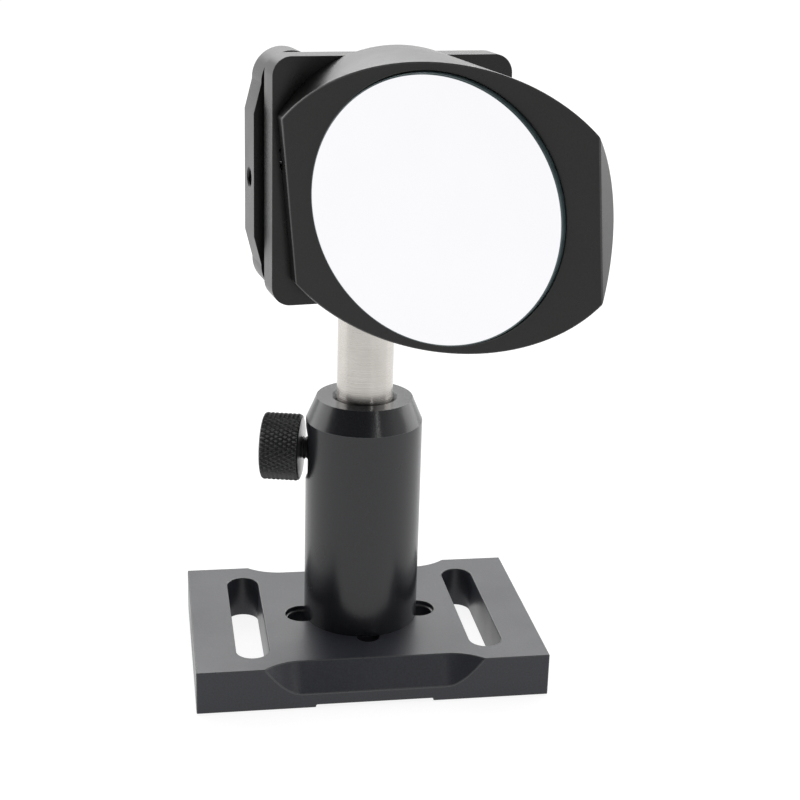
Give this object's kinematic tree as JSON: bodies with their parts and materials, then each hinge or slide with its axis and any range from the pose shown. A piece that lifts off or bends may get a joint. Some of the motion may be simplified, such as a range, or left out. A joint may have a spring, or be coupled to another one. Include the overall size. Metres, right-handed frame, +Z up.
{
  "type": "kinematic mirror mount",
  "caption": "Post-mounted tilting mirror mount: slotted base, post holder with thumbscrew, post, L-frame plates and a round mirror in a 45 degree wedge block.",
  "frame": {"origin": "centre of the base's underside, on the post's axis", "axes": "+X along the base's long side, +Y towards the back (the mirror looks towards -Y and -X), +Z up along the post"},
  "size_m": [0.075, 0.0819, 0.1356],
  "materials": {
    "anodised_base": "satin black anodised",
    "anodised_holder": "fine-turned black anodised",
    "anodised_plate": "satin black anodised",
    "anodised_block": "satin black anodised",
    "knob_black": "black oxide, diamond knurl",
    "black_steel": "black oxide",
    "nylon": "plain",
    "post_steel": "fine-turned stainless",
    "small_steel": "bright",
    "bush_brass": "turned",
    "hard_steel": "polished",
    "spring_steel": "drawn wire",
    "mirror_glass": "front-coated flat mirror, ground edge"
  },
  "bodies": {
    "stand": {"base_plate": "anodised_base", "base_screw": "black_steel", "post_holder": "anodised_holder"},
    "thumb_pad": {"thumb_tip": "nylon"},
    "thumbscrew": {"thumb_knob": "knob_black", "thumb_stud": "black_steel"},
    "post": {"post": "post_steel"},
    "back_frame": {"post_stud": "small_steel", "back_plate": "anodised_plate", "bushing_top": "bush_brass", "bushing_side": "bush_brass", "pivot_pin": "small_steel", "spring_top": "spring_steel", "spring_side": "spring_steel", "spring_pins_back": "hard_steel"},
    "top_adjuster": {"adjuster_top": "small_steel", "ball_top": "hard_steel"},
    "side_adjuster": {"adjuster_side": "small_steel", "ball_side": "hard_steel"},
    "pivot_ball": {"pivot_ball": "hard_steel"},
    "mirror_frame": {"front_plate": "anodised_plate", "cone_seat": "hard_steel", "vee_seat": "hard_steel", "flat_seat": "hard_steel", "spring_pins_front": "hard_steel", "mirror_block": "anodised_block", "block_screw": "black_steel", "mirror": "mirror_glass"}
  },
  "joints": [
    {"name": "thumb_advance", "type": "slide", "parent": "stand", "child": "thumb_pad", "axis": [-0.9703, 0.2419, 0], "range_m": [0, 0.0016]},
    {"name": "thumb_turn", "type": "hinge", "parent": "thumb_pad", "child": "thumbscrew", "pos_m": [0, 0, 0.04785], "axis": [-0.9703, 0.2419, 0], "range_deg": [0, 721]},
    {"name": "post_slide", "type": "slide", "parent": "stand", "child": "post", "axis": [0, 0, 1], "range_m": [-0.015, 0.012]},
    {"name": "post_turn", "type": "hinge", "parent": "post", "child": "back_frame", "pos_m": [0, 0, 0.08], "axis": [0, 0, 1], "continuous": true},
    {"name": "tilt_side", "type": "hinge", "parent": "back_frame", "child": "pivot_ball", "pos_m": [-0.01653, -0.00789, 0.09112], "axis": [0, 0, 1], "range_deg": [-2.5, 2.5], "deforming": ["spring_side"]},
    {"name": "tilt_top", "type": "hinge", "parent": "pivot_ball", "child": "mirror_frame", "pos_m": [-0.01653, -0.00789, 0.09112], "axis": [0.9881, 0.1538, 0], "range_deg": [-2.5, 2.5], "deforming": ["spring_top"]},
    {"name": "top_advance", "type": "slide", "parent": "back_frame", "child": "top_adjuster", "axis": [-0.1538, 0.9881, 0], "range_m": [-0.0017, 0.0017]},
    {"name": "side_advance", "type": "slide", "parent": "back_frame", "child": "side_adjuster", "axis": [-0.1538, 0.9881, 0], "range_m": [-0.0017, 0.0017]}
  ],
  "couplings": [
    {"joint": "thumb_turn", "follows": "thumb_advance", "rad_per_m": 7854},
    {"joint": "top_advance", "follows": "tilt_top", "m_per_rad": -0.0365},
    {"joint": "side_advance", "follows": "tilt_side", "m_per_rad": 0.0365}
  ]
}
